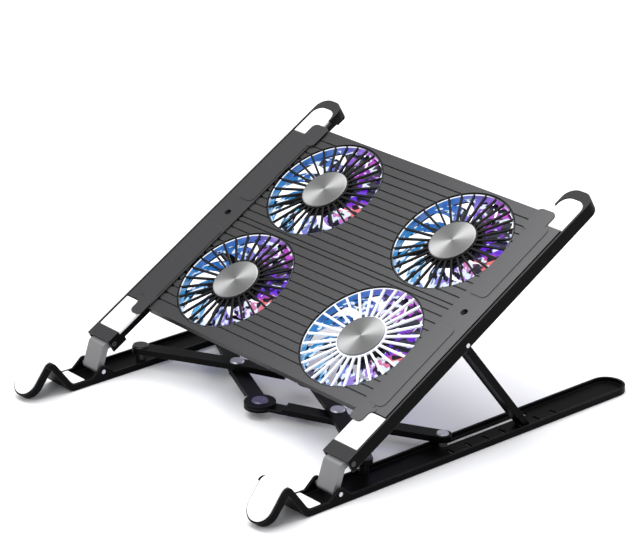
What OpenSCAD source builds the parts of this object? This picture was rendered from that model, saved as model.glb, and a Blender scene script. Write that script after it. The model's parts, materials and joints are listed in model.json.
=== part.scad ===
/* [Base rails] */
// Half of the overall width, to the outer faces of the rails
half_w = 130.5; // [128:0.5:135]
// Width of each base rail
rail_w = 23.5; // [23:0.5:25]
// Height of the rail's low side walls
rail_wall_h = 4.3; // [4.1:0.1:4.3]
// Thickness of the rail's floor and walls
rail_t = 1.5; // [1.2:0.1:1.6]
// Distance from the arm's front edge back to the rail's round end
rail_rear = 248; // [240:0.5:252]

/* [Arms] */
// Length of each arm
arm_len = 238; // [232:0.5:242]
// Width of each arm
arm_w = 22.5; // [22:0.5:23]
// Depth of each arm
arm_depth = 9.6; // [9.4:0.1:10]
// Slope of the arms and the deck
tilt = 30; // [29.5:0.1:30.5]

/* [Deck] */
// Length of the fan deck along the slope
deck_len = 179; // [178:0.5:181]
// Distance between the left and right fan centres
fan_pitch_x = 124; // [123:0.2:124]
// Distance between the front and rear fan centres
fan_pitch_s = 89; // [88.6:0.2:89.2]
// Radius of each grille opening
fan_r = 42.3; // [41.8:0.1:42.4]
// Spacing of the grooves across the deck
groove_pitch = 6.5; // [6:0.1:7]
// Spokes in each grille
spoke_count = 29; // [24:1:32]
// Blades on each rotor
blade_count = 9; // [7:1:11]

/* [Cross bars] */
// Distance from a rail pivot to the crossing rivet
bar_outer = 70; // [69:0.2:71]
// Distance from the crossing rivet to the middle rivet
bar_inner = 55; // [54:0.2:56]
// Angle of the bars' outer lengths from straight across
bar_angle = 28; // [27.5:0.1:28.5]
// Width of each bar
bar_w = 10.6; // [10:0.2:10.8]

/* [Hidden] */
$fn = 64;
eps = 0.01;
fit = 0.05;        // radial clearance of a pin in its bore

// Height of the arm's front top edge; every distance along the object starts from that edge
front_z = 26.7;

// Base rail
foot_t = 0.4;
rail_z = foot_t;
floor_z = rail_z + rail_t;
rail_top = rail_z + rail_wall_h;
rail_in = half_w - rail_w;
rail_mid = half_w - rail_w / 2;
rail_front = -21.3;          // where the flat floor meets the hook ribbon
link_pin = [-5.1, 7.2];      // [along, up] of the pin between rail and link
lug_r = 3.9;
pin_r = 2;                   // upright posts and rivets
cross_pin_r = 1.5;           // pins that lie across the object
notch_first = 93;
notch_pitch = 15;
notch_count = 7;
notch_len = 2.6;
strut_x = 123.4;             // the strut stands outboard of the sliding post
strut_w = 10.2;

// Front hook: a ribbon that rises over a hump and ends in a sloping tongue
hook_t = 4.4;
valley_end = -28.5;
valley_r = 4.2;
rise_angle = 53.5;
rise_len = 20.8;
hump_r = 2.4;
tongue_angle = 52;
tongue_len = 12.6;
tongue_t = 5.6;
tongue_r = 11;
pad_t = 0.8;
pad_edge = 1.2;              // border left round the hook pad
valley_edge = 1.7;           // and round the valley pad

// Arm, in its own frame: x across, s along, h square to the top face
tray_h = 2.8;
web_t = 1.2;
arm_in = half_w - arm_w;
arm_out = half_w;
arm_wall = 1.2;
band_len = 9.7;
tray_end = 231;
arm_corner_r = 9;
inner_wall_depth = 7;
inner_wall_from = 12;
arm_pin = [3, -5];
strut_pin = [108.5, -7];
deck_mid = 125;
clip_hole_x = 115.6;
clip_hole_r = 2.5;

// Strut
strut_r = 2.15;
foot_gap = 0.2;
foot_along = 153;

// Deck
deck_front = deck_mid - deck_len / 2;
deck_rear = deck_mid + deck_len / 2;
fan_mid = 125.9;
slat_h = -1;
slat_t = 2;
slat_w = 107;
wing_out = arm_out - arm_wall - 1.1;
wing_front = 37.5;
wing_rear = 204.8;
wing_h = 0.2;
wing_floor = -tray_h + 0.05;
field_h = 0.7;
skirt_t = 0.9;
skirt_h = -6.2;
groove_w = 1.3;
groove_d = 0.9;
frame_r = 43;
ear_r = 3.2;
ear_at = 46.5;
ear_h = -5.5;
frame_h = -9.5;
guard_h = -1.6;
cap_r = 16.1;
rotor_r = 18.6;
stub_r = 1.5;
button_x = 22;
button_w = 6;
button_tall = 1.4;

// Cross bars, bent a little at the crossing rivet: pivot places [x, along] and heights
inner_angle = 23.8;
pivot_y = 29.4;
cross_x = bar_inner * cos(inner_angle);
pivot_x = cross_x + bar_outer * cos(bar_angle);
cross_y = pivot_y + bar_outer * sin(bar_angle);
front_mid_y = cross_y - bar_inner * sin(inner_angle);
rear_mid_y = cross_y + bar_inner * sin(inner_angle);
slide_y = 2 * cross_y - pivot_y;
slide_travel = 71;
low_z = 5.7;         // the cross bars
low_t = 4.2;
high_z = 10.1;       // the rail bars
high_t = 4.3;
lap_r = 18.5;        // each bar is halved this far round its middle rivet
lap_gap = 0.2;
eye_r = 10.4;        // round ends at the middle rivets
end_r = 5.7;         // round ends over the rails, and the bend at the crossing
post_r = 3.3;
slide_head_r = 4.05;
cross_head_r = 4.85;
mid_head_r = 5.5;
head_t = 1;

graphite = [0.20, 0.20, 0.21];
jet = [0.07, 0.07, 0.08];
steel = [0.75, 0.75, 0.77];
silicone = [0.95, 0.95, 0.94];

module left() { mirror([1, 0, 0]) children(); }
module along(y) { translate([0, front_y + y, 0]) children(); }
module on_arm() { translate([0, front_y, front_z]) rotate([tilt, 0, 0]) children(); }
// A pin or bore along x, at [along, up], from x0 to x1
module x_pin(p, r, x0, x1) {
  translate([x0, p[0], p[1]]) rotate([0, 90, 0]) cylinder(r = r, h = x1 - x0);
}
// Extrudes an outline drawn as [along, up] over a stretch of x
module across(x0, x1) {
  translate([x0, 0, 0]) rotate([90, 0, 90]) linear_extrude(x1 - x0) children();
}
// A straight bar with round ends between two points
module link2d(a, b, r) {
  d = b - a;
  translate(a) circle(r);
  translate(b) circle(r);
  translate(a) rotate(atan2(d[1], d[0])) translate([0, -r]) square([norm(d), 2 * r]);
}
module round_rect(x0, y0, x1, y1, r) {
  translate([x0 + r, y0]) square([x1 - x0 - 2 * r, y1 - y0]);
  translate([x0, y0 + r]) square([x1 - x0, y1 - y0 - 2 * r]);
  for (x = [x0 + r, x1 - r], y = [y0 + r, y1 - r]) translate([x, y]) circle(r, $fn = 48);
}

// ---- Base rail -------------------------------------------------------------
// The hook's centre line, as [along, up], with its bends taken as arcs
hook_z = rail_z + hook_t / 2;
rise_c = [valley_end, hook_z + valley_r];
rise_a = rise_c + valley_r * [-sin(rise_angle), -cos(rise_angle)];
rise_b = rise_a + rise_len * [-cos(rise_angle), sin(rise_angle)];
hump_c = rise_b + hump_r * [-sin(rise_angle), -cos(rise_angle)];
hump_end = hump_c + hump_r * [-sin(tongue_angle), cos(tongue_angle)];
// the front edge lies where the hook's tip and the rail's rear end are equally far from the origin
hook_tip = hump_end[0] - (tongue_len + tongue_r) * cos(tongue_angle) - hook_t / 2 * sin(tongue_angle);
front_y = -(rail_rear + hook_tip) / 2;
function arc(c, r, a0, a1, n) = [for (i = [0:n]) let (a = a0 + (a1 - a0) * i / n) c + r * [cos(a), sin(a)]];
function hook_side(d) = concat(
  [[rail_front + 2, hook_z + d]],
  arc(rise_c, valley_r - d, 270, 270 - rise_angle, 8),
  arc(hump_c, hump_r + d, 90 - rise_angle, 90 + tongue_angle, d > 0 ? 14 : 2));
function backwards(v) = [for (i = [len(v) - 1:-1:0]) v[i]];

module tongue(inset, t, lift) {
  r = tongue_r - inset;
  translate([half_w - 0.05 - tongue_r, hump_end[0], hump_end[1]]) rotate([tongue_angle, 0, 0])
    translate([0, 0, lift]) linear_extrude(t) {
      translate([0, -tongue_len]) circle(r);
      translate([-r, -tongue_len]) square([2 * r, tongue_len + 0.3]);
    }
}
module rail_outline(inset) {
  translate([rail_mid, rail_rear - rail_w / 2]) circle(rail_w / 2 - inset);
  translate([rail_in + inset, rail_front])
    square([rail_w - 2 * inset, rail_rear - rail_w / 2 - rail_front]);
}
module lug() {
  foot = lug_r + 5;
  translate(link_pin) circle(lug_r);
  polygon([[link_pin[0] - foot, rail_z], [link_pin[0] - foot, rail_top],
           link_pin + lug_r * [-0.766, 0.643], link_pin + lug_r * [0.766, 0.643],
           [link_pin[0] + foot, rail_top], [link_pin[0] + foot, rail_z]]);
}
module base_rail() {
  color(jet) along(0) difference() {
    union() {
      translate([0, 0, rail_z]) linear_extrude(rail_t) rail_outline(0);
      translate([0, 0, rail_z]) linear_extrude(rail_wall_h) difference() {
        rail_outline(0);
        rail_outline(rail_t);
      }
      across(rail_in, rail_in + rail_t) lug();
      across(half_w - rail_t, half_w) lug();
      across(rail_in, half_w)
        polygon(concat(hook_side(hook_t / 2), backwards(hook_side(-hook_t / 2))));
      tongue(0, tongue_t, hook_t / 2 - tongue_t);
    }
    translate([0, 0, valley_pad_z]) linear_extrude(pad_t + 1) valley_pad_outline(0);
    x_pin(link_pin, cross_pin_r - 0.02, rail_in - 1, half_w + 1);
    for (i = [0:notch_count - 1])
      translate([strut_x - strut_w / 2, notch_first + notch_pitch * i - notch_len / 2, 0])
        cube([strut_w, notch_len, floor_z + 1]);
    translate([0, 0, -eps]) linear_extrude(floor_z + 1)
      link2d([pivot_x, slide_y - 0.5], [pivot_x, slide_y + slide_travel + 0.5], pin_r + 0.3);
  }
}
module rail_feet() {
  color([0.12, 0.12, 0.12]) along(0) for (y = [5, 212])
    linear_extrude(foot_t) round_rect(rail_mid - 8, y, rail_mid + 8, y + 18, 3);
}
// the pad covers the tongue and runs over the hump to its crest
module hook_pad() {
  inner = hook_t / 2;
  color(silicone) along(0) {
    tongue(pad_edge, pad_t, inner);
    across(half_w - 2 * tongue_r + pad_edge, half_w - pad_edge)
      polygon(concat(arc(hump_c, hump_r + inner, pad_from, 90 + tongue_angle, 10),
                     backwards(arc(hump_c, hump_r + inner + pad_t, pad_from, 90 + tongue_angle, 10))));
  }
}
pad_from = 74;
valley_pad_z = hook_z + hook_t / 2 - pad_t + 0.1;
module valley_pad_outline(inset) {
  round_rect(rail_in + valley_edge + inset, valley_end + 0.3 + inset, half_w - valley_edge - inset,
             rail_front + 2.6, 1.2);
}
module valley_pad() {
  color(silicone) along(0) translate([0, 0, valley_pad_z]) linear_extrude(pad_t) valley_pad_outline(0.1);
}

// ---- Link between rail and arm --------------------------------------------
arm_pin_yz = [arm_pin[0] * cos(tilt) - arm_pin[1] * sin(tilt),
              front_z + arm_pin[0] * sin(tilt) + arm_pin[1] * cos(tilt)];
link_x0 = rail_mid - 7.75;
link_x1 = rail_mid + 7.75;
link_lean = 19.5;            // from upright
link_r = 2.6;
link_dir = [sin(link_lean), cos(link_lean)];
link_brow = link_pin + 15.4 * link_dir;
module link_pin_rod() { color(steel) along(0) x_pin(link_pin, cross_pin_r - 0.02, rail_in - 0.3, half_w + 0.3); }
// a flat plate whose upper end bends back into the arm
module front_link() {
  color([0.45, 0.45, 0.46]) along(0) difference() {
    across(link_x0, link_x1) {
      link2d(link_pin, link_brow, link_r);
      link2d(link_brow, arm_pin_yz, link_r);
      translate(arm_pin_yz) circle(link_r + 0.6);
      polygon([link_pin + 9 * link_dir, link_brow, arm_pin_yz]);
    }
    x_pin(link_pin, cross_pin_r + fit, link_x0 - 1, link_x1 + 1);
    x_pin(arm_pin_yz, cross_pin_r - 0.02, link_x0 - 1, link_x1 + 1);
  }
}
module arm_pin_rod() { color(steel) along(0) x_pin(arm_pin_yz, cross_pin_r - 0.02, arm_in, arm_out); }

// ---- Arm -------------------------------------------------------------------
module arm_outline(inset) {
  round_y = arm_len - arm_corner_r;
  translate([arm_in + inset, inset]) square([arm_w - 2 * inset, round_y - inset]);
  translate([arm_in + arm_corner_r, round_y])
    square([arm_w - 2 * arm_corner_r, arm_corner_r - inset]);
  for (x = [arm_in + arm_corner_r, arm_out - arm_corner_r])
    translate([x, round_y]) circle(arm_corner_r - inset);
}
module arm() {
  color(jet) on_arm() difference() {
    translate([0, 0, -arm_depth]) linear_extrude(arm_depth) arm_outline(0);
    // the tray that the pads and the deck's wings lie in, open on the inner side
    translate([arm_in - 1, band_len, -tray_h])
      cube([arm_w + 1 - arm_wall, tray_end - band_len - arm_corner_r, tray_h + 1]);
    translate([0, 0, -tray_h]) linear_extrude(tray_h + 1) round_rect(
      arm_in + arm_wall, tray_end - 20, arm_out - arm_wall, tray_end, arm_corner_r - arm_wall);
    // the channel underneath, which takes the folded strut
    translate([arm_in + arm_wall + 0.3, band_len, -arm_depth - 1])
      cube([arm_w - 2 * arm_wall - 0.6, tray_end - band_len - 4, arm_depth + 1 - tray_h - web_t]);
    // the open front end, which takes the link
    translate([arm_in + arm_wall + 0.3, -1, -arm_depth - 1])
      cube([arm_w - 2 * arm_wall - 0.6, band_len + 1 + eps, arm_depth]);
    x_pin(arm_pin, cross_pin_r + fit, arm_in - 1, arm_out + 1);
    x_pin(strut_pin, cross_pin_r - 0.02, arm_in - 1, arm_out + 1);
    // the inner wall is shallower, but for a boss round the strut's pin
    difference() {
      translate([arm_in - 1, inner_wall_from, -arm_depth - 1])
        cube([arm_wall + 1.4, arm_len, arm_depth + 1 - inner_wall_depth]);
      x_pin(strut_pin, cross_pin_r + 1.1, arm_in - 2, arm_in + 4);
    }
    translate([clip_hole_x, deck_mid, -tray_h - web_t - 1]) cylinder(r = clip_hole_r, h = web_t + 2);
  }
}
module arm_front_pad() {
  color(silicone) on_arm() translate([0, 0, -tray_h]) linear_extrude(tray_h - 0.3)
    round_rect(arm_in, band_len + 0.2, arm_out - arm_wall - 0.3, wing_front - 0.5, 1);
}
module arm_rear_pad() {
  color(silicone) on_arm() translate([0, 0, -tray_h]) linear_extrude(tray_h - 0.3)
    intersection() {
      translate([arm_in, wing_rear + 0.5]) square([arm_w, arm_len - wing_rear]);
      round_rect(arm_in + arm_wall + 0.2, tray_end - 60, arm_out - arm_wall - 0.3, tray_end - 0.2,
                 arm_corner_r - arm_wall - 0.2);
    }
}

// ---- Strut -----------------------------------------------------------------
strut_top = [strut_pin[0] * cos(tilt) - strut_pin[1] * sin(tilt),
             front_z + strut_pin[0] * sin(tilt) + strut_pin[1] * cos(tilt)];
strut_foot = [foot_along, floor_z + foot_gap + strut_r];
strut_slope = atan2(strut_foot[1] - strut_top[1], strut_foot[0] - strut_top[0]);
strut_len = norm(strut_foot - strut_top);
module strut_pin_rod() { color(steel) on_arm() x_pin(strut_pin, cross_pin_r - 0.02, arm_in - 0.3, arm_out + 0.4); }
module strut() {
  x0 = strut_x - strut_w / 2;
  color(jet) along(0) translate([0, strut_top[0], strut_top[1]]) rotate([strut_slope, 0, 0]) difference() {
    union() {
      across(x0, x0 + strut_w) link2d([0, 0], [strut_len, 0], strut_r);
      across(x0, x0 + strut_w) circle(strut_r + 0.75);
      translate([x0, 7, -strut_r - 0.6]) cube([1.4, strut_len - 18, strut_r]);
      translate([x0 + strut_w - 1.4, 7, -strut_r - 0.6]) cube([1.4, strut_len - 18, strut_r]);
    }
    x_pin([0, 0], cross_pin_r + fit, x0 - 1, x0 + strut_w + 1);
    translate([x0 + 1.8, 9, strut_r - 0.9]) cube([strut_w - 3.6, strut_len - 22, 2]);
  }
}

// ---- Cross bars ------------------------------------------------------------
left_pivot = [-pivot_x, pivot_y];
left_cross = [-cross_x, cross_y];
rear_mid = [0, rear_mid_y];
front_mid = [0, front_mid_y];
right_cross = [cross_x, cross_y];
right_pivot = [pivot_x, pivot_y];
left_slide = [-pivot_x, slide_y];
right_slide = [pivot_x, slide_y];
module z_bore(p, r) { translate([p[0], p[1], 0]) cylinder(r = r, h = 30); }
// A bar from a rail end, through its crossing rivet, to the eye at a middle rivet
module bar_length(a, b) {
  d = b - a;
  translate(a) rotate(atan2(d[1], d[0])) translate([0, -bar_w / 2]) square([norm(d), bar_w]);
}
module scissor_bar(a, c, b, z, t) {
  translate([0, 0, z]) linear_extrude(t) {
    bar_length(a, c);
    bar_length(c, b);
    translate(a) circle(end_r);
    translate(c) circle(end_r);
    translate(b) circle(eye_r);
  }
}
module halve(p, z) { translate([p[0], p[1], z]) cylinder(r = lap_r, h = 10); }
high_half = high_z + high_t / 2;
low_half = low_z + low_t / 2;
// left rail pivot to rear middle, halved from below
module left_rail_bar() {
  color(graphite) along(0) difference() {
    scissor_bar(left_pivot, left_cross, rear_mid, high_z, high_t);
    halve(rear_mid, high_half + lap_gap / 2 - 10);
    z_bore(left_pivot, pin_r + fit);
    z_bore(left_cross, pin_r - 0.02);
    z_bore(rear_mid, pin_r - 0.02);
  }
}
// left sliding post to front middle, halved from below
module left_cross_bar() {
  color(graphite) along(0) difference() {
    scissor_bar(left_slide, left_cross, front_mid, low_z, low_t);
    halve(front_mid, low_half + lap_gap / 2 - 10);
    z_bore(left_slide, pin_r - 0.02);
    z_bore(left_cross, pin_r + fit);
    z_bore(front_mid, pin_r - 0.02);
  }
}
// right rail pivot to rear middle, halved from above
module right_rail_bar() {
  color(graphite) along(0) difference() {
    scissor_bar(right_pivot, right_cross, rear_mid, high_z, high_t);
    halve(rear_mid, high_half - lap_gap / 2);
    z_bore(right_pivot, pin_r + fit);
    z_bore(right_cross, pin_r - 0.02);
    z_bore(rear_mid, pin_r + fit);
  }
}
// right sliding post to front middle, halved from above
module right_cross_bar() {
  color(graphite) along(0) difference() {
    scissor_bar(right_slide, right_cross, front_mid, low_z, low_t);
    halve(front_mid, low_half - lap_gap / 2);
    z_bore(right_slide, pin_r - 0.02);
    z_bore(right_cross, pin_r + fit);
    z_bore(front_mid, pin_r + 0.4);
  }
}
module head(r) { cylinder(r1 = r, r2 = r - 0.5, h = head_t); }
play = 0.1;          // gap beside a bar that turns
low_top = low_z + low_t;
high_top = high_z + high_t;
// A headed pin on a wide shoulder, standing on the rail floor; the bar turns between the two
module pivot_post(p) {
  color(jet) along(0) {
    translate([p[0], p[1], floor_z]) cylinder(r = post_r, h = high_z - play - floor_z);
    translate([p[0], p[1], floor_z]) cylinder(r = pin_r - 0.02, h = high_top + play - floor_z + eps);
    translate([p[0], p[1], high_top + play]) head(mid_head_r);
  }
}
// A pin fixed in its bar, with a spacer and a tip that slides in the rail's slot
module slide_post(p) {
  color(steel) along(0) {
    translate([p[0], p[1], floor_z + play]) cylinder(r = post_r, h = low_z - floor_z - play);
    translate([p[0], p[1], rail_z + 0.3]) cylinder(r = pin_r - 0.02, h = low_top - rail_z - 0.3 + eps);
    translate([p[0], p[1], low_top]) head(slide_head_r);
  }
}
// A rivet through two bars, with a thin flange below the lower one
module rivet(p, bottom, top, r) {
  foot = bottom - play - 0.6;
  color(steel) along(0) {
    translate([p[0], p[1], foot]) cylinder(r = pin_r - 0.02, h = top - foot + eps);
    translate([p[0], p[1], foot]) cylinder(r = pin_r + 1.1, h = 0.6);
    translate([p[0], p[1], top]) head(r);
  }
}

// ---- Deck ------------------------------------------------------------------
fan_x = fan_pitch_x / 2;
fan_front = fan_mid - fan_pitch_s / 2;
fan_rear = fan_mid + fan_pitch_s / 2;
fan_places = [[-fan_x, fan_front], [fan_x, fan_front], [-fan_x, fan_rear], [fan_x, fan_rear]];
groove_rows = floor((deck_len / 2 - 3) / groove_pitch);
seam = 2;
ear_places = [for (a = [45:90:315]) ear_at * [cos(a), sin(a)]];

module wing() {
  // full-thickness wing in the arm's tray
  translate([0, 0, wing_floor]) linear_extrude(wing_h - wing_floor) {
    translate([slat_w - 3, wing_front]) square([wing_out - slat_w + 3, wing_rear - wing_front]);
  }
  // thin tongues over the pads, at the front and the rear
  translate([0, 0, 0]) linear_extrude(wing_h + 0.4) {
    round_rect(slat_w - 2.5, 27.2, 115.4, wing_front + 8, 3.6);
    round_rect(slat_w - 6, wing_rear - 8, 116.4, deck_rear + 1, 4);
    difference() {
      translate([115, wing_front - 3]) square([3.6, 5]);
      translate([118.9, wing_front - 3.5]) circle(3.5);
    }
  }
  // two raised fields, one beside each fan
  translate([0, 0, wing_floor]) linear_extrude(field_h - wing_floor) {
    round_rect(slat_w - 1.4, 42, 121, 112, 4);
    round_rect(slat_w - 1.4, 139, 121, wing_rear - 1.5, 4);
  }
}
module wing_cuts() {
  // the clip hole between the fields, and the notch at the slats' seam
  translate([slat_w - 3.2, deck_mid - 2.2, slat_h - slat_t - 1]) cube([3.2, 4.4, slat_t + 2]);
  translate([clip_hole_x, deck_mid, wing_floor - 1]) cylinder(r = clip_hole_r, h = 5);
}
module deck_panel() {
  color(graphite) on_arm() difference() {
    union() {
      translate([-slat_w, deck_front, slat_h - slat_t]) cube([2 * slat_w, deck_len, slat_t]);
      for (s = [deck_front, deck_rear - skirt_t])
        translate([-slat_w + 1.2, s, skirt_h]) cube([2 * slat_w - 2.4, skirt_t, slat_h - skirt_h - eps]);
      wing();
      left() wing();
      for (f = fan_places, e = ear_places)
        translate([f[0] + e[0], f[1] + e[1], ear_h]) cylinder(r = 2.6, h = slat_h - slat_t - ear_h + eps, $fn = 32);
      for (x = [-4, 4])
        translate([x, deck_rear - 16, board_top]) cylinder(r = 1.8, h = slat_h - slat_t - board_top + eps, $fn = 32);
    }
    wing_cuts();
    left() wing_cuts();
    for (f = fan_places) translate([f[0], f[1], slat_h - slat_t - 1]) cylinder(r = fan_r, h = 6, $fn = 120);
    for (side = [-1, 1], k = [0:groove_rows - 1]) {
      s = deck_mid + side * (seam + k * groove_pitch);
      translate([-slat_w + 3.5, s - groove_w / 2, slat_h - groove_d])
        cube([2 * slat_w - 7, groove_w, groove_d + 1]);
      for (x = [-slat_w + 2, slat_w - 4.2])
        translate([x, s - groove_w / 2 - 0.6, slat_h - slat_t - 1]) cube([2.2, groove_w + 1.2, slat_t + 2]);
    }
    // screw pilots in the bosses, and the inlet's and the button's windows in the rear skirt
    for (f = fan_places, e = ear_places)
      translate([f[0] + e[0], f[1] + e[1], ear_h - 1]) cylinder(r = 1.1, h = 1 - ear_h + slat_h - slat_t, $fn = 24);
    translate([-5, deck_rear - skirt_t - 1, skirt_h - 1]) cube([10, skirt_t + 2, slat_h - slat_t - skirt_h + 1]);
    translate([button_x - button_w / 2 - 0.2, deck_rear - skirt_t - 1, button_h - 0.2])
      cube([button_w + 0.4, skirt_t + 2, button_tall + 0.4]);
  }
}
module grille(f) {
  color(jet) on_arm() translate([f[0], f[1], 0]) {
    translate([0, 0, slat_h - slat_t - 1]) difference() {
      cylinder(r = frame_r, h = 1, $fn = 120);
      translate([0, 0, -1]) cylinder(r = fan_r - 0.9, h = 3, $fn = 120);
    }
    translate([0, 0, slat_h - slat_t - 1]) difference() {
      cylinder(r = fan_r - 0.1, h = guard_h - slat_h + slat_t + 1, $fn = 120);
      translate([0, 0, -1]) cylinder(r = fan_r - 1, h = 6, $fn = 120);
    }
    translate([0, 0, guard_h - 1.4]) cylinder(r = cap_r + 0.9, h = 1.4);
    for (i = [0:spoke_count - 1]) rotate(i * 360 / spoke_count)
      translate([cap_r, -0.7, guard_h - 1.4]) cube([fan_r - cap_r - 0.5, 1.4, 1.3]);
  }
}
module rotor(f) {
  bottom = frame_h + 2;
  tall = 4.2;
  pitch = 33;
  color([0.35, 0.4, 0.5]) on_arm() translate([f[0], f[1], bottom]) difference() {
    union() {
      cylinder(r = rotor_r, h = tall);
      for (i = [0:blade_count - 1]) rotate(i * 360 / blade_count)
        translate([rotor_r - 0.5, 0, tall / 2]) rotate([pitch, 0, 0])
          translate([0, -3.2, -0.4]) cube([40.7 - rotor_r, 6.4, 0.8]);
    }
    // the motor cavity, round a boss that turns on the frame's stub
    difference() {
      translate([0, 0, -1]) cylinder(r = 12.6, h = tall);
      translate([0, 0, 1.5]) cylinder(r = 3.2, h = tall);
    }
    translate([0, 0, -1]) cylinder(r = stub_r + fit, h = tall + 0.4);
  }
}
module fan_frame(f) {
  color(jet) on_arm() translate([f[0], f[1], frame_h]) {
    wall_top = slat_h - slat_t - 1 - frame_h;
    difference() {
      cylinder(r = frame_r, h = wall_top, $fn = 120);
      translate([0, 0, -1]) cylinder(r = frame_r - 1.2, h = wall_top + 2, $fn = 120);
    }
    cylinder(r = 12, h = 1.4);
    cylinder(r = 9, h = 3.2);
    cylinder(r = stub_r, h = 5.4);
    for (a = [90, 210, 330]) rotate(a) translate([11, -2, 0]) cube([frame_r - 11.6, 4, 1.4]);
    for (e = ear_places) difference() {
      union() {
        translate([e[0], e[1], ear_h - frame_h - 1.5]) cylinder(r = ear_r, h = 1.5, $fn = 32);
        translate([0, 0, ear_h - frame_h - 1.5]) rotate(atan2(e[1], e[0]))
          translate([frame_r - 0.6, -ear_r, 0]) cube([ear_at - frame_r + 0.6, 2 * ear_r, 1.5]);
      }
      translate([e[0], e[1], ear_h - frame_h - 3]) cylinder(r = 1.35, h = 4, $fn = 24);
    }
  }
}
module hub_caps() {
  color(steel) on_arm() for (f = fan_places) translate([f[0], f[1], guard_h]) {
    cylinder(r = cap_r, h = 0.7);
    translate([0, 0, 0.7]) cylinder(r1 = cap_r, r2 = cap_r - 0.5, h = 0.4);
  }
}
module led_rings() {
  color([0.5, 0.6, 0.9]) on_arm() for (f = fan_places) translate([f[0], f[1], frame_h + 2.2]) difference() {
    cylinder(r = frame_r - 1.2, h = 3, $fn = 120);
    translate([0, 0, -1]) cylinder(r = frame_r - 2, h = 5, $fn = 120);
  }
}
module fan_screws() {
  color(steel) on_arm() for (f = fan_places, e = ear_places) translate([f[0] + e[0], f[1] + e[1], 0]) {
    translate([0, 0, ear_h - 1.5 - 1.2]) cylinder(r = 2.4, h = 1.2, $fn = 24);
    translate([0, 0, ear_h - 1.5 - eps]) cylinder(r = 1.1, h = 3.4, $fn = 24);
  }
}
board_h = slat_h - slat_t - 3.6;
board_top = board_h + 1;
button_h = board_top + 0.5;
module control_board() {
  color([0.05, 0.3, 0.15]) on_arm() {
    translate([-16, deck_rear - 19, board_h]) cube([41.4, 17.5, 1]);
    translate([button_x - 2.5, deck_rear - 7, board_top - eps]) cube([5, 3.8, 1.9]);
    for (x = [-14, 9]) translate([x, deck_rear - 17, board_top - eps]) cube([5, 4, 1.9]);
  }
}
module usb_inlet() {
  color(steel) on_arm() difference() {
    translate([-3.8, deck_rear - 6.2, board_top]) cube([7.6, 5.8, 2.5]);
    translate([-3.5, deck_rear - 5.2, board_top + 0.3]) cube([7, 6, 1.9]);
  }
}
module light_button() {
  color(jet) on_arm() {
    translate([button_x - button_w / 2, deck_rear - 2.6, button_h]) cube([button_w, 3.5, button_tall]);
    translate([button_x - button_w / 2 - 0.8, deck_rear - skirt_t - 1.3, board_top + 0.15])
      cube([button_w + 1.6, 0.8, button_tall + 0.7]);
  }
}

left() base_rail();  // left_base_rail
base_rail();  // right_base_rail
left() rail_feet();  // left_rail_feet
rail_feet();  // right_rail_feet
left() hook_pad();  // left_hook_pad
hook_pad();  // right_hook_pad
left() valley_pad();  // left_valley_pad
valley_pad();  // right_valley_pad
left() link_pin_rod();  // left_link_pin
link_pin_rod();  // right_link_pin
left() front_link();  // left_front_link
front_link();  // right_front_link
left() arm_pin_rod();  // left_arm_pin
arm_pin_rod();  // right_arm_pin
left() arm();  // left_arm
arm();  // right_arm
left() arm_front_pad();  // left_arm_front_pad
arm_front_pad();  // right_arm_front_pad
left() arm_rear_pad();  // left_arm_rear_pad
arm_rear_pad();  // right_arm_rear_pad
left() strut_pin_rod();  // left_strut_pin
strut_pin_rod();  // right_strut_pin
left() strut();  // left_strut
strut();  // right_strut
left_rail_bar();
left_cross_bar();
right_rail_bar();
right_cross_bar();
pivot_post(left_pivot);  // left_pivot_post
pivot_post(right_pivot);  // right_pivot_post
slide_post(left_slide);  // left_slide_post
slide_post(right_slide);  // right_slide_post
rivet(left_cross, low_z, high_top, cross_head_r);  // left_cross_rivet
rivet(right_cross, low_z, high_top, cross_head_r);  // right_cross_rivet
rivet(front_mid, low_z, low_top, mid_head_r);  // front_middle_rivet
rivet(rear_mid, high_z, high_top, mid_head_r);  // rear_middle_rivet
deck_panel();
grille(fan_places[0]);  // grille_front_left
grille(fan_places[1]);  // grille_front_right
grille(fan_places[2]);  // grille_rear_left
grille(fan_places[3]);  // grille_rear_right
rotor(fan_places[0]);  // rotor_front_left
rotor(fan_places[1]);  // rotor_front_right
rotor(fan_places[2]);  // rotor_rear_left
rotor(fan_places[3]);  // rotor_rear_right
fan_frame(fan_places[0]);  // fan_frame_front_left
fan_frame(fan_places[1]);  // fan_frame_front_right
fan_frame(fan_places[2]);  // fan_frame_rear_left
fan_frame(fan_places[3]);  // fan_frame_rear_right
hub_caps();
led_rings();
fan_screws();
control_board();
usb_inlet();
light_button();
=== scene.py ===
import json
import math

import bmesh
import bpy
from mathutils import Matrix, Vector


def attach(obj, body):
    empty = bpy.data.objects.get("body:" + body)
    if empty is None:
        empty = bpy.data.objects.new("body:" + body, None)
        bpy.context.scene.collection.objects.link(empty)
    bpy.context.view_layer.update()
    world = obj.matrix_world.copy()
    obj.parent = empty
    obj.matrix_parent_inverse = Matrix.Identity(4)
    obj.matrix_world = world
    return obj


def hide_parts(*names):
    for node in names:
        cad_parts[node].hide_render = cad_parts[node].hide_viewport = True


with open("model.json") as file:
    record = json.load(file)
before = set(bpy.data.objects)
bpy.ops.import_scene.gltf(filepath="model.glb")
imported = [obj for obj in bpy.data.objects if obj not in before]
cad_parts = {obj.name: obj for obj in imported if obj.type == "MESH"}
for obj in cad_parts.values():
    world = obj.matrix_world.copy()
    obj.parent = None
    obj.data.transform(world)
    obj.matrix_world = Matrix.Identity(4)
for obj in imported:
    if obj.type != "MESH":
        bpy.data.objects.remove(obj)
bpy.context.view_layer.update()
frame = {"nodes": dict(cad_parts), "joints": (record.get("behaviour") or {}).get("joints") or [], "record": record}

MM = 0.001
NODES = frame["nodes"]
BODY_OF = {n: b for b, ns in frame["record"]["behaviour"]["bodies"].items() for n in ns}
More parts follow.
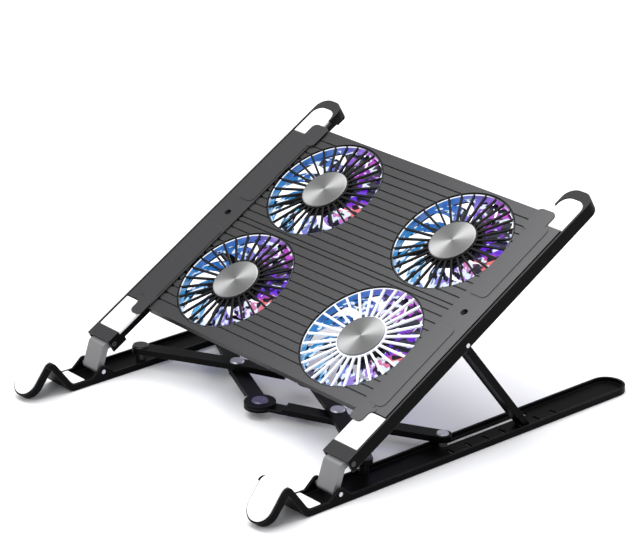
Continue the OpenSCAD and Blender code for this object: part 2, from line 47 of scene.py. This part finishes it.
SLOT_OF = {s["node"]: s["material_slot"] for s in frame["record"]["subparts"]}
JOINTS = {j["name"]: j for j in frame["joints"]}
FANS = ("front_left", "front_right", "rear_left", "rear_right")


# ---- Materials -------------------------------------------------------------
class Nodes:
    """A short way to write a node tree."""

    def __init__(self, name):
        self.mat = bpy.data.materials.new(name)
        self.mat.use_nodes = True
        self.tree = self.mat.node_tree
        self.tree.nodes.clear()
        self.out = self.add("ShaderNodeOutputMaterial")
        self.bsdf = self.add("ShaderNodeBsdfPrincipled")
        self.link(self.bsdf, "BSDF", self.out, "Surface")
        self.coord = self.add("ShaderNodeTexCoord")

    def add(self, kind, **props):
        n = self.tree.nodes.new(kind)
        for k, v in props.items():
            setattr(n, k, v)
        return n

    def link(self, a, out, b, inp):
        self.tree.links.new(a.outputs[out], b.inputs[inp])

    def set(self, **values):
        for k, v in values.items():
            self.bsdf.inputs[k.replace("_", " ")].default_value = v

    def noise(self, scale, detail=2.0, rough=0.5, stretch=(1, 1, 1)):
        m = self.add("ShaderNodeMapping")
        m.inputs["Scale"].default_value = stretch
        self.link(self.coord, "Object", m, "Vector")
        n = self.add("ShaderNodeTexNoise")
        n.inputs["Scale"].default_value = scale
        n.inputs["Detail"].default_value = detail
        n.inputs["Roughness"].default_value = rough
        self.link(m, "Vector", n, "Vector")
        return n

    def ramp(self, src, out, stops):
        """A grey or coloured ramp, fed by the output named out, or by src itself where out is None."""
        r = self.add("ShaderNodeValToRGB")
        els = r.color_ramp.elements
        while len(els) < len(stops):
            els.new(0.5)
        for e, (p, c) in zip(els, stops):
            e.position = p
            e.color = (c, c, c, 1) if isinstance(c, (int, float)) else (*c, 1)
        if out is None:
            self.tree.links.new(src, r.inputs["Fac"])
        else:
            self.link(src, out, r, "Fac")
        return r

    def math(self, op, a, b=None, c=None):
        m = self.add("ShaderNodeMath", operation=op)
        for i, v in enumerate((a, b, c)):
            if v is None:
                continue
            if isinstance(v, (int, float)):
                m.inputs[i].default_value = v
            else:
                self.tree.links.new(v, m.inputs[i])
        return m.outputs[0]

    def mix(self, fac, a, b, blend="MIX"):
        m = self.add("ShaderNodeMix", data_type="RGBA", blend_type=blend)
        for i, v in zip((0, 6, 7), (fac, a, b)):
            if isinstance(v, (int, float)):
                m.inputs[i].default_value = v
            elif isinstance(v, tuple):
                m.inputs[i].default_value = (*v, 1)
            else:
                self.tree.links.new(v, m.inputs[i])
        return m.outputs[2]

    def bump(self, height, distance):
        b = self.add("ShaderNodeBump")
        b.inputs["Strength"].default_value = 1.0
        b.inputs["Distance"].default_value = distance
        self.tree.links.new(height, b.inputs["Height"])
        self.link(b, "Normal", self.bsdf, "Normal")
        return b

    def polar(self):
        """Angle as 0 to 1 (0.5 is local +X) and radius in metres, about the object's own Z axis."""
        sep = self.add("ShaderNodeSeparateXYZ")
        self.link(self.coord, "Object", sep, "Vector")
        x, y, z = sep.outputs
        angle = self.math("ARCTAN2", y, x)
        turn = self.math("MULTIPLY_ADD", angle, 0.5 / math.pi, 0.5)
        squares = self.math("ADD", self.math("MULTIPLY", x, x), self.math("MULTIPLY", y, y))
        length = self.math("SQRT", squares)
        return turn, length, z


# Faces turned up the slope take the painted light colour in coated()
SLOPE_UP = (0.0, -0.5, 0.866)
OVERALL_WIDTH = 260 * MM


def coated(name, base, wear_and_highlight, rough, metallic, spec, grain, depth, smudge, edge,
           top=None, soft=0.5 * MM, painted_shade_far_side=None):
    """A satin coat: fine grain, soft smudges in the gloss and edges lighter where they turn, partly wear and
    partly a painted highlight.

    Faces that look up square to the slope take the colour top as painted light, shading across the width to the
    painted_shade_far_side colour as painted shade.
    """
    m = Nodes(name)
    m.set(Metallic=metallic, Specular_IOR_Level=spec)
    fine = m.noise(grain, 3, 0.6)
    broad = m.noise(22, 3, 0.55)
    # Where edges turn, the colour lightens towards the edge colour: partly wear, partly a painted highlight.
    turned = m.add("ShaderNodeBevel", samples=6)
    turned.inputs["Radius"].default_value = soft
    geo = m.add("ShaderNodeNewGeometry")
    dot = m.add("ShaderNodeVectorMath", operation="DOT_PRODUCT")
    m.link(turned, "Normal", dot, 0)
    m.link(geo, "Normal", dot, 1)
    away = m.math("SUBTRACT", 1.0, dot.outputs["Value"])
    scratch = m.noise(90, 4, 0.7)
    rub_and_highlight = m.math("MULTIPLY", away, m.math("MULTIPLY_ADD", scratch.outputs["Fac"], 1.6, 0.1))
    mask = m.math("MINIMUM", m.math("MULTIPLY", rub_and_highlight, 6.0 * edge), 1.0)
    paler = tuple(min(1, c * 1.3 + 0.001) for c in base)
    tone = m.mix(m.math("MULTIPLY", broad.outputs["Fac"], 0.5), base, paler)
    # Painted light: faces looking up the slope take the lighter top colour, and a painted shade darkens them
    # towards the far side.
    if top:
        facing = m.add("ShaderNodeVectorMath", operation="DOT_PRODUCT")
        m.link(m.coord, "Normal", facing, 0)
        facing.inputs[1].default_value = SLOPE_UP
        painted_lit_faces = m.ramp(facing, "Value", [(0.80, 0.0), (0.97, 1.0)])
        if painted_shade_far_side:
            place = m.add("ShaderNodeSeparateXYZ")
            m.link(m.coord, "Object", place, "Vector")
            share = m.math("MULTIPLY_ADD", place.outputs["X"], 1 / OVERALL_WIDTH, 0.5)
            across = m.ramp(share, None, [(0.0, 0.0), (1.0, 1.0)])
            top = m.mix(m.math("POWER", across.outputs["Color"], 2.2), painted_shade_far_side, top)
        tone = m.mix(painted_lit_faces.outputs["Color"], tone, top)
    speck = m.mix(m.math("MULTIPLY", fine.outputs["Fac"], 0.012), tone, wear_and_highlight)
    m.tree.links.new(m.mix(mask, speck, wear_and_highlight), m.bsdf.inputs["Base Color"])
    r = m.math("MULTIPLY_ADD", broad.outputs["Fac"], smudge, rough - smudge / 2)
    m.tree.links.new(r, m.bsdf.inputs["Roughness"])
    grained = m.bump(fine.outputs["Fac"], depth)
    m.link(turned, "Normal", grained, "Normal")
    return m.mat


def steel(name, base, rough):
    """Turned steel, with fine marks across its length."""
    m = Nodes(name)
    m.set(Metallic=1.0)
    turned = m.noise(500, 3, 0.6, (1, 1, 12))
    tone = m.mix(m.math("MULTIPLY", turned.outputs["Fac"], 0.5), base, tuple(c * 0.7 for c in base))
    m.tree.links.new(tone, m.bsdf.inputs["Base Color"])
    m.tree.links.new(m.math("MULTIPLY_ADD", turned.outputs["Fac"], 0.16, rough), m.bsdf.inputs["Roughness"])
    m.bump(turned.outputs["Fac"], 0.00001)
    return m.mat


def silicone(name):
    """Matt white silicone that lets a little light in."""
    m = Nodes(name)
    m.set(Specular_IOR_Level=0.4, Subsurface_Weight=0.12, Sheen_Weight=0.15, Sheen_Roughness=0.4)
    m.bsdf.inputs["Subsurface Radius"].default_value = (0.002, 0.0018, 0.0016)
    fine = m.noise(1100, 3, 0.6)
    broad = m.noise(30, 3, 0.5)
    tone = m.mix(broad.outputs["Fac"], (0.86, 0.86, 0.85), (0.94, 0.94, 0.935))
    m.tree.links.new(tone, m.bsdf.inputs["Base Color"])
    m.tree.links.new(m.math("MULTIPLY_ADD", broad.outputs["Fac"], 0.15, 0.42), m.bsdf.inputs["Roughness"])
    m.bump(fine.outputs["Fac"], 0.00004)
    return m.mat


def spun(name):
    """Aluminium spun about the cap's own axis, with two soft cones of light painted into its colour as a painted
    highlight.
    """
    m = Nodes(name)
    m.set(Metallic=0.85, Specular_IOR_Level=0.3, Roughness=0.5)
    turn, radius, _ = m.polar()
    rings = m.math("SINE", m.math("MULTIPLY", radius, 9500.0))
    # Painted highlight: two soft cones of light, painted into the base colour by angle.
    painted_cone = m.math("ABSOLUTE", m.math("SINE", m.math("MULTIPLY_ADD", turn, 2 * math.pi, 0.5)))
    painted_light = m.ramp(m.math("POWER", painted_cone, 2.2), None, [(0.0, 0.13), (0.55, 0.21), (1.0, 0.44)])
    streak = m.math("MULTIPLY_ADD", rings, 0.06, 0.94)
    m.tree.links.new(m.mix(1.0, painted_light.outputs["Color"], streak, "MULTIPLY"), m.bsdf.inputs["Base Color"])
    m.bump(rings, 0.000004)
    return m.mat


RIM_HEIGHT = 3.4 * MM        # above this the light ring shows its top rim, with a painted highlight at one side
BLADE_ROOT = 21.5 * MM       # inside this radius the blades get no painted glow and stay dark
GUARD_RING = 41.1 * MM       # outside this radius a grille is its black outer ring

# Colour of the light against the angle round the fan
GLOW = [
    (0.00, (0.015, 0.16, 0.46)), (0.10, (0.02, 0.24, 0.55)), (0.20, (0.12, 0.45, 0.80)),
    (0.30, (0.20, 0.22, 0.70)), (0.41, (0.45, 0.20, 0.75)), (0.475, (0.90, 0.16, 0.10)),
    (0.52, (0.12, 0.015, 0.72)), (0.62, (0.16, 0.01, 0.45)), (0.69, (0.50, 0.05, 0.58)),
    (0.77, (0.24, 0.12, 0.62)), (0.86, (0.04, 0.15, 0.52)), (0.94, (0.012, 0.12, 0.42)),
]


def glow_ring(name):
    """The light ring: its colour runs round with the angle, and its top rim carries a painted white highlight at
    the rear left.
    """
    m = Nodes(name)
    turn, _, z = m.polar()
    colour = m.ramp(turn, None, GLOW)
    top = m.math("GREATER_THAN", z, RIM_HEIGHT)
    # Painted highlight: the top rim glows white over one arc of angle and near black elsewhere.
    side = m.ramp(turn, None, [(0.0, 1), (0.07, 1), (0.12, 0.02), (0.74, 0.02), (0.79, 1), (1.0, 1)])
    blotch = m.noise(120, 3, 0.6)
    shade = m.ramp(blotch, "Fac", [(0.35, 0.55), (0.62, 1.0)])
    body = m.mix(1.0, colour.outputs["Color"], shade.outputs["Color"], "MULTIPLY")
    m.tree.links.new(m.mix(top, body, side.outputs["Color"]), m.bsdf.inputs["Emission Color"])
    m.set(Base_Color=(0.05, 0.06, 0.09, 1), Roughness=0.25, Emission_Strength=1.0)
    return m.mat


def blade_painted_glow(name, seed):
    """Clear tinted blades with the light ring's colours painted in as a glow, though they are no lamp, with
    painted glints and patches of painted shade.
    """
    m = Nodes(name)
    turn, radius, _ = m.polar()
    wobble = m.noise(70, 3, 0.6)
    shift = m.math("MULTIPLY_ADD", wobble.outputs["Fac"], 0.16, 1.0 - 0.08)
    # Painted glow: the blades take the light ring's colours as emission.
    colour = m.ramp(m.math("FRACT", m.math("ADD", turn, shift)), None, GLOW)
    cells = m.add("ShaderNodeCombineXYZ")
    m.tree.links.new(m.math("MULTIPLY", turn, 46.0), cells.inputs["X"])
    m.tree.links.new(m.math("MULTIPLY", radius, 170.0), cells.inputs["Y"])
    cells.inputs["Z"].default_value = seed

    def painted_patches(offset, limits):
        """Crisp radial patches, more of them where the limit for that angle is low."""
        n = m.add("ShaderNodeTexNoise")
        n.inputs["Scale"].default_value = 1.0
        n.inputs["Detail"].default_value = 1.0
        shift = m.add("ShaderNodeVectorMath", operation="ADD")
        shift.inputs[1].default_value = (offset, 2.0 * offset, 0.0)
        m.link(cells, "Vector", shift, 0)
        m.link(shift, "Vector", n, "Vector")
        limit = m.ramp(turn, None, limits)
        over = m.math("SUBTRACT", n.outputs["Fac"], limit.outputs["Color"])
        return m.math("MINIMUM", m.math("MAXIMUM", m.math("MULTIPLY", over, 22.0), 0.0), 1.0)

    # Painted highlights: pale glints on the blades (white); painted shade: patches where the painted glow is cut
    # to near black (black).
    white = painted_patches(0.0, [(0.0, 0.58), (0.12, 0.49), (0.42, 0.47), (0.50, 0.60),
                         (0.62, 0.58), (0.74, 0.50), (0.85, 0.53), (1.0, 0.58)])
    black = painted_patches(9.0, [(0.0, 0.60), (0.20, 0.52), (0.42, 0.54), (0.50, 0.50),
                         (0.62, 0.44), (0.76, 0.49), (0.85, 0.58), (1.0, 0.60)])
    # No painted glow inside the blade root.
    inner = m.math("LESS_THAN", radius, BLADE_ROOT)
    painted_light = m.mix(white, colour.outputs["Color"], (0.80, 0.90, 1.0))
    dark = m.math("MAXIMUM", black, inner)
    m.tree.links.new(m.mix(dark, painted_light, (0.003, 0.002, 0.008)), m.bsdf.inputs["Emission Color"])
    m.set(Base_Color=(0.01, 0.012, 0.02, 1), Roughness=0.3, Emission_Strength=1.0, Specular_IOR_Level=0.15)
    fine = m.noise(800, 2, 0.5)
    m.bump(fine.outputs["Fac"], 0.00002)
    return m.mat


def painted_lit_guard(name, centre, axis):
    """Spokes painted pale and given a painted glow inside a black outer ring, told apart by the distance from the
    fan's axis.
    """
    m = Nodes(name)
    away = m.add("ShaderNodeVectorMath", operation="SUBTRACT")
    m.link(m.coord, "Object", away, 0)
    away.inputs[1].default_value = centre
    side = m.add("ShaderNodeVectorMath", operation="CROSS_PRODUCT")
    m.link(away, "Vector", side, 0)
    side.inputs[1].default_value = axis
    reach = m.add("ShaderNodeVectorMath", operation="LENGTH")
    m.link(side, "Vector", reach, 0)
    ring = m.math("GREATER_THAN", reach.outputs["Value"], GUARD_RING)
    fine = m.noise(1500, 3, 0.6)
    # Painted light: the spokes of this one grille take a pale colour and a painted glow, and the outer ring stays
    # black.
    pale = m.mix(m.math("MULTIPLY", fine.outputs["Fac"], 0.3), (0.82, 0.84, 0.88), (0.70, 0.73, 0.80))
    m.tree.links.new(m.mix(ring, pale, (0.003, 0.003, 0.004)), m.bsdf.inputs["Base Color"])
    m.tree.links.new(m.mix(ring, (0.16, 0.17, 0.19), (0.0, 0.0, 0.0)), m.bsdf.inputs["Emission Color"])
    m.set(Roughness=0.4, Specular_IOR_Level=0.2, Emission_Strength=1.0)
    m.bump(fine.outputs["Fac"], 0.00002)
    return m.mat


def board_coat(name):
    """Green circuit board with copper lines."""
    m = Nodes(name)
    cells = m.add("ShaderNodeTexBrick")
    cells.inputs["Scale"].default_value = 260
    cells.inputs["Color1"].default_value = (0.01, 0.12, 0.05, 1)
    cells.inputs["Color2"].default_value = (0.015, 0.17, 0.07, 1)
    cells.inputs["Mortar"].default_value = (0.35, 0.28, 0.08, 1)
    cells.inputs["Mortar Size"].default_value = 0.04
    m.link(m.coord, "Object", cells, "Vector")
    m.link(cells, "Color", m.bsdf, "Base Color")
    fine = m.noise(600, 2, 0.5)
    m.tree.links.new(m.math("MULTIPLY_ADD", fine.outputs["Fac"], 0.2, 0.3), m.bsdf.inputs["Roughness"])
    m.bump(fine.outputs["Fac"], 0.00003)
    return m.mat


FRONT_RIGHT = JOINTS["fan_spin_front_right"]
# Each coat: base, edge colour (wear and painted highlight), roughness, metallic, specular, grain, depth, smudge,
# edge wear and painted highlight strength, then the options (top: painted light; painted_shade_far_side: painted
# shade across the width)
M = {
    "rail_metal": coated("rail_black", (0.0016, 0.0016, 0.0017), (0.20, 0.20, 0.205),
                         0.38, 0.0, 0.03, 1500, 0.00001, 0.1, 0.22),
    # Arms: top is painted light on their upward faces.
    "arm_metal": coated("arm_black", (0.0014, 0.0014, 0.0015), (0.30, 0.30, 0.305),
                        0.4, 0.0, 0.03, 1300, 0.00002, 0.12, 0.28, top=(0.040, 0.040, 0.041)),
    "bar_metal": coated("bar_black", (0.0016, 0.0016, 0.0017), (0.16, 0.16, 0.17),
                        0.38, 0.0, 0.05, 1200, 0.00002, 0.14, 0.3),
    "link_metal": coated("link_grey", (0.20, 0.20, 0.202), (0.42, 0.42, 0.42),
                         0.42, 0.2, 0.4, 1000, 0.00003, 0.12, 0.4),
    "strut_metal": coated("strut_black", (0.0014, 0.0014, 0.0015), (0.14, 0.14, 0.14),
                          0.38, 0.0, 0.03, 1200, 0.00002, 0.12, 0.2),
    # Deck: top is painted light on its upward faces, painted_shade_far_side a painted shade across the width.
    "deck_metal": coated("deck_charcoal", (0.004, 0.004, 0.0042), (0.20, 0.20, 0.205),
                         0.42, 0.0, 0.25, 1600, 0.00002, 0.1, 0.30, top=(0.092, 0.092, 0.094),
                         soft=0.3 * MM, painted_shade_far_side=(0.026, 0.026, 0.027)),
    "guard_plastic": coated("guard_black", (0.002, 0.002, 0.0022), (0.03, 0.03, 0.033),
                            0.42, 0.0, 0.15, 1500, 0.00002, 0.1, 0.2),
    "guard_white": painted_lit_guard("guard_painted_glow", FRONT_RIGHT["pos_m"], FRONT_RIGHT["axis"]),
    "foot_rubber": coated("foot_rubber", (0.006, 0.006, 0.006), (0.03, 0.03, 0.03),
                          0.75, 0.0, 0.2, 700, 0.00006, 0.1, 0.1),
    "dark_steel": coated("blackened_steel", (0.004, 0.004, 0.0045), (0.25, 0.25, 0.26),
                         0.3, 0.0, 0.4, 900, 0.00002, 0.1, 0.4),
    "bright_steel": steel("turned_steel", (0.62, 0.62, 0.66), 0.3),
    # Painted light: violet light painted into the rivets' steel colour.
    "violet_steel": steel("rivet_in_violet_light", (0.20, 0.19, 0.27), 0.35),
    "silicone": silicone("white_silicone"),
    "cap_metal": spun("spun_aluminium_painted_cones"),
    "board_green": board_coat("board_green"),
}


# ---- Pieces ----------------------------------------------------------------
def new_object(name, mesh, mat):
    o = bpy.data.objects.new(name, mesh)
    bpy.context.scene.collection.objects.link(o)
    mesh.materials.clear()
    mesh.materials.append(mat)
    return o


def smooth(mesh, angle=32):
    for p in mesh.polygons:
        p.use_smooth = True
    mesh.set_sharp_from_angle(angle=math.radians(angle))


def apply_modifiers(o):
    bpy.context.view_layer.update()
    mesh = bpy.data.meshes.new_from_object(o.evaluated_get(bpy.context.evaluated_depsgraph_get()))
    o.modifiers.clear()
    o.data = mesh


ROUNDED_FROM = 38            # degrees: sharper edges than this are rounded over


def finished(node, mat, bevel):
    """A CAD node with its edges rounded over."""
    mesh = bpy.data.meshes.new(node + "_finished")
    bm = bmesh.new()
    bm.from_mesh(NODES[node].data)
    bmesh.ops.remove_doubles(bm, verts=bm.verts, dist=2e-6)
    bmesh.ops.dissolve_limit(bm, angle_limit=math.radians(0.6), verts=bm.verts, edges=bm.edges)
    bmesh.ops.recalc_face_normals(bm, faces=bm.faces)
    bm.to_mesh(mesh)
    bm.free()
    o = new_object(node + "_finished", mesh, mat)
    b = o.modifiers.new("round", "BEVEL")
    b.width = bevel * MM
    b.segments = 2
    b.limit_method = "ANGLE"
    b.angle_limit = math.radians(ROUNDED_FROM)
    b.use_clamp_overlap = True
    b.harden_normals = True
    smooth(mesh, ROUNDED_FROM)
    apply_modifiers(o)
    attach(o, BODY_OF[node])
    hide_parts(node)


# Material and edge radius in millimetres of each piece that comes on both sides
ROUNDED = {
    "base_rail": ("rail_metal", 0.35), "hook_pad": ("silicone", 0.35), "valley_pad": ("silicone", 0.35),
    "front_link": ("link_metal", 0.5), "arm": ("arm_metal", 0.4), "arm_front_pad": ("silicone", 0.7),
    "arm_rear_pad": ("silicone", 0.7), "strut": ("strut_metal", 0.35),
}
for side in ("left", "right"):
    for part, (mat, width) in ROUNDED.items():
        finished(f"{side}_{part}", M[mat], width)
for bar in ("left_rail_bar", "left_cross_bar", "right_rail_bar", "right_cross_bar"):
    finished(bar, M["bar_metal"], 0.5)

# CAD nodes that keep their shape and take another material than their slot's
KEPT = {
    "grille_front_right": "guard_white",
    "front_middle_rivet": "violet_steel", "rear_middle_rivet": "violet_steel",
    "left_arm_pin": "dark_steel", "right_arm_pin": "dark_steel",
    "left_pivot_post": "dark_steel", "right_pivot_post": "dark_steel",
}
for n, o in NODES.items():
    if not o.hide_render:
        o.data.materials.clear()
        by_slot = SLOT_OF[n] if SLOT_OF[n] in M else "guard_plastic"
        o.data.materials.append(M[KEPT.get(n, by_slot)])


# ---- Fans ------------------------------------------------------------------
def fan_matrix(f):
    """A fan's frame: origin on its spin axis, X along the width, Y up the slope and Z out of the deck."""
    j = JOINTS["fan_spin_" + f]
    z = Vector(j["axis"]).normalized()
    x = Vector((1, 0, 0))
    y = z.cross(x)
    m = Matrix((x, y, z)).transposed().to_4x4()
    m.translation = Vector(j["pos_m"])
    return m


def vert(bm, x, y, z):
    """A vertex at a place given in millimetres."""
    return bm.verts.new((x * MM, y * MM, z * MM))


def lathe(name, profile, n, mat):
    """A solid of revolution about Z. The profile is [(radius, height)] in millimetres, closed on itself."""
    bm = bmesh.new()
    rows = []
    for i in range(n):
        a = 2 * math.pi * i / n
        rows.append([vert(bm, r * math.cos(a), r * math.sin(a), h) for r, h in profile])
    k = len(profile)
    for i in range(n):
        p, q = rows[i], rows[(i + 1) % n]
        for j in range(k):
            bm.faces.new((p[j], q[j], q[(j + 1) % k], p[(j + 1) % k]))
    bmesh.ops.remove_doubles(bm, verts=bm.verts, dist=1e-7)
    bmesh.ops.recalc_face_normals(bm, faces=bm.faces)
    mesh = bpy.data.meshes.new(name)
    bm.to_mesh(mesh)
    bm.free()
    o = new_object(name, mesh, mat)
    smooth(mesh)
    return o


BLADES = 9
BLADE_FROM, BLADE_TO = 18.3, 40.1
BLADE_STEPS = 12
TIP_FROM = 0.86              # share of the blade's length where the tip begins to round off
# Blade section: share of the half width, share of the thickness
SECTION = ((-1, 0), (-0.6, 1), (0, 1.25), (0.6, 1), (1, 0), (0.6, -0.7), (0, -0.7), (-0.6, -0.7))


def blade_mesh(name, mat):
    """Swept blades with a rounded section, each joined to the hub's side."""
    bm = bmesh.new()
    for b in range(BLADES):
        start = 2 * math.pi * b / BLADES
        rings = []
        for i in range(BLADE_STEPS + 1):
            t = i / BLADE_STEPS
            r = BLADE_FROM + (BLADE_TO - BLADE_FROM) * t
            sweep = start + 0.10 * t + 0.42 * t * t
            tip = 2.4 * max(0.0, t - TIP_FROM) / (1 - TIP_FROM)
            half = 5.4 + 5.4 * t - tip ** 2 * 0.25
            pitch = math.radians(18 - 9.5 * t)
            thick = 0.45 - 0.12 * t
            ring = []
            for u, w in SECTION:
                c = half * u
                hgt = c * math.sin(pitch) + 0.8 * thick * w * math.cos(pitch)
                ang = sweep + c * math.cos(pitch) / r
                ring.append(vert(bm, r * math.cos(ang), r * math.sin(ang), hgt - 0.05))
            rings.append(ring)
        for p, q in zip(rings, rings[1:]):
            k = len(SECTION)
            for j in range(k):
                bm.faces.new((p[j], q[j], q[(j + 1) % k], p[(j + 1) % k]))
        bm.faces.new(rings[0])
        bm.faces.new(list(reversed(rings[-1])))
    bmesh.ops.recalc_face_normals(bm, faces=bm.faces)
    mesh = bpy.data.meshes.new(name)
    bm.to_mesh(mesh)
    bm.free()
    o = new_object(name, mesh, mat)
    smooth(mesh, 50)
    return o


# Profiles in millimetres: radius, height along the spin axis
HUB = [(12.6, -2.1), (18.4, -2.1), (18.6, -1.9), (18.6, 1.6), (18.3, 2.0),
       (17.9, 2.1), (0, 2.1), (0, 1.1), (12.6, 1.1)]
RING = [(40.6, -1.9), (41.25, -1.9), (41.25, 3.65), (40.6, 3.65)]
CAP = [(0, 3.8), (16.1, 3.8), (16.1, 4.55), (15.95, 4.75), (15.7, 4.85), (15.3, 4.87)] + [
    (15.3 * (1 - k / 16), 4.87 + 0.02 * k / 16) for k in range(1, 17)]
ring_glow = glow_ring("light_ring_glow")
for i, f in enumerate(FANS):
    place = fan_matrix(f)
    blades = blade_mesh("fan_blades_" + f, blade_painted_glow("blade_painted_glow_" + f, 2.0 + 3.7 * i))
    hub = lathe("fan_hub_" + f, HUB, 96, M["guard_plastic"])
    for o in (blades, hub):
        o.matrix_world = place
        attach(o, "fan_" + f)
        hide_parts("rotor_" + f)
    ring = lathe("light_ring_" + f, RING, 128, ring_glow)
    ring.matrix_world = place
    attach(ring, "deck")
    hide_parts("led_rings")
    cap = lathe("hub_cap_" + f, CAP, 128, M["cap_metal"])
    cap.matrix_world = place
    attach(cap, "deck")
    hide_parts("hub_caps")
    lamp = bpy.data.lights.new("fan_light_" + f, "POINT")
    lamp.color = (0.30, 0.16, 1.0)
    lamp.energy = 0.008
    lamp.shadow_soft_size = 0.02
    lo = bpy.data.objects.new(lamp.name, lamp)
    bpy.context.scene.collection.objects.link(lo)
    lo.matrix_world = place @ Matrix.Translation((0, 0, -8 * MM))
    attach(lo, "deck")


# ---- Stage -----------------------------------------------------------------
camera = bpy.data.cameras.new("camera")
camera.sensor_width = 36
camera.lens = 151.3
eye = Vector((1.214, -1.04463, 0.7257))
gaze = Vector((-0.7045, 0.6056, -0.3700))
cam = bpy.data.objects.new("camera", camera)
cam.location = eye
cam.rotation_euler = gaze.to_track_quat("-Z", "Y").to_euler()
bpy.context.scene.collection.objects.link(cam)
bpy.context.scene.camera = cam

floor_mesh = bpy.data.meshes.new("floor")
REACH = 9.0
corners = [(-REACH, -REACH, 0), (REACH, -REACH, 0), (REACH, REACH, 0), (-REACH, REACH, 0)]
floor_mesh.from_pydata(corners, [], [(0, 1, 2, 3)])
fm = Nodes("floor_pale")
fm.set(Roughness=0.75, Specular_IOR_Level=0.2)
soft = fm.noise(3, 2, 0.5)
pale = fm.mix(soft.outputs["Fac"], (0.88, 0.88, 0.885), (0.92, 0.92, 0.92))
fm.tree.links.new(pale, fm.bsdf.inputs["Base Color"])
floor = new_object("floor", floor_mesh, fm.mat)

world = bpy.data.worlds.new("studio")
world.use_nodes = True
sky = world.node_tree.nodes["Background"].inputs
sky["Color"].default_value = (0.96, 0.97, 1.0, 1)
sky["Strength"].default_value = 0.62
bpy.context.scene.world = world


def softbox(name, at, aim, size, power):
    light = bpy.data.lights.new(name, "AREA")
    light.shape = "RECTANGLE"
    light.size, light.size_y = size
    light.energy = power
    o = bpy.data.objects.new(name, light)
    o.location = at
    o.rotation_euler = (Vector(aim) - Vector(at)).to_track_quat("-Z", "Y").to_euler()
    bpy.context.scene.collection.objects.link(o)


softbox("key", (-0.5, 0.1, 2.4), (0, 0, 0.05), (2.4, 2.4), 62)
softbox("fill", (0.3, -1.6, 1.5), (0, 0, 0.05), (1.4, 1.0), 14)
softbox("back", (0.2, 1.8, 1.2), (0, 0, 0.1), (1.6, 0.8), 12)
bpy.context.scene.view_settings.view_transform = "Standard"
